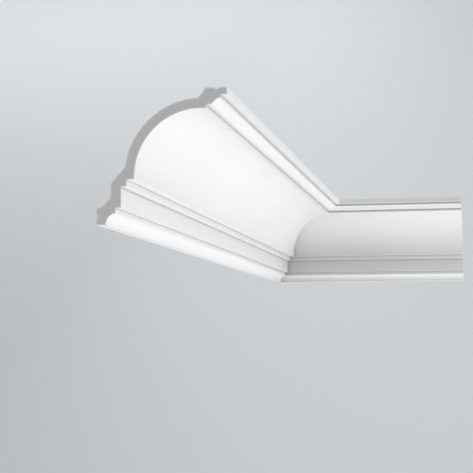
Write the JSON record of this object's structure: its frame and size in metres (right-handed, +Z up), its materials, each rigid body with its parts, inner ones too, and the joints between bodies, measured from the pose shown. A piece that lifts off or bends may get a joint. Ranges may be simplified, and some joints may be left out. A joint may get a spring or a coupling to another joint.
{
  "type": "cornice moulding inside corner",
  "caption": "White cove cornice moulding with stepped fillets, mitred round an inside corner, glued between wall and ceiling.",
  "frame": {"origin": "under the middle of the whole corner piece, on the plane of its bottom edges", "axes": "+Z up to the ceiling; the long run lies along Y with its wall face towards -X; the short run lies along X with its wall face towards +Y"},
  "size_m": [0.43, 1.3, 0.17],
  "materials": {
    "primed_foam": "smooth matt white primer on rigid polyurethane foam; the sawn ends show the grey foam"
  },
  "bodies": {
    "root": {"long_run": "primed_foam", "short_run": "primed_foam"}
  },
  "joints": []
}
